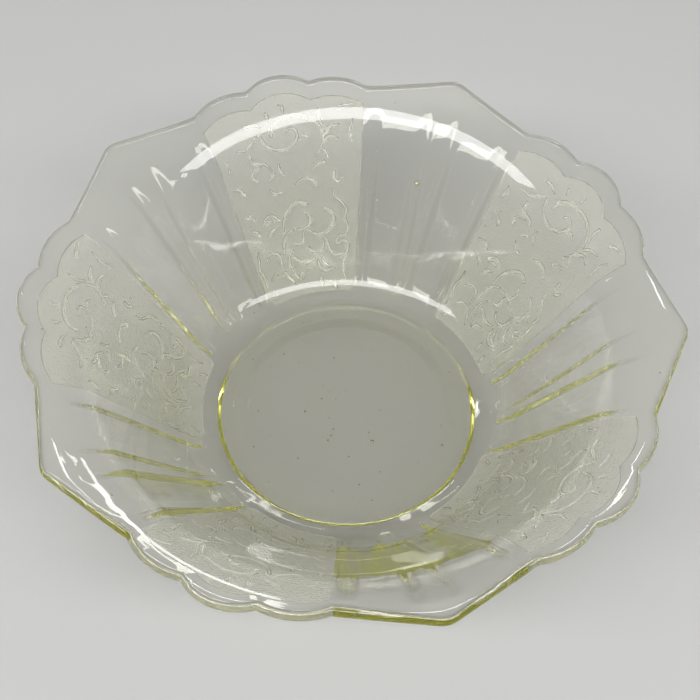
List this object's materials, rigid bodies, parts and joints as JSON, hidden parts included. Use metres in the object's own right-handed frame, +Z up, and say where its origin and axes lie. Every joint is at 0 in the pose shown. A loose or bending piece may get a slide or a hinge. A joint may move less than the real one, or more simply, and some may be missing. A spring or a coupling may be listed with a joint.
{
  "type": "glass bowl",
  "caption": "Pressed pale straw glass bowl with a flared wall, a scalloped and pointed rim, ribbed clear panels alternating with scroll panels, and a low foot ring.",
  "frame": {"origin": "centre of the foot ring, on the surface the bowl stands on", "axes": "+Z up along the bowl's axis, +X towards one point of the rim"},
  "size_m": [0.2343, 0.2262, 0.0723],
  "materials": {
    "straw_glass": "pressed clear glass with a pale straw tint, polished inside and on the ribs, satin on the scroll panels"
  },
  "bodies": {
    "root": {"bowl": "straw_glass"}
  },
  "joints": []
}
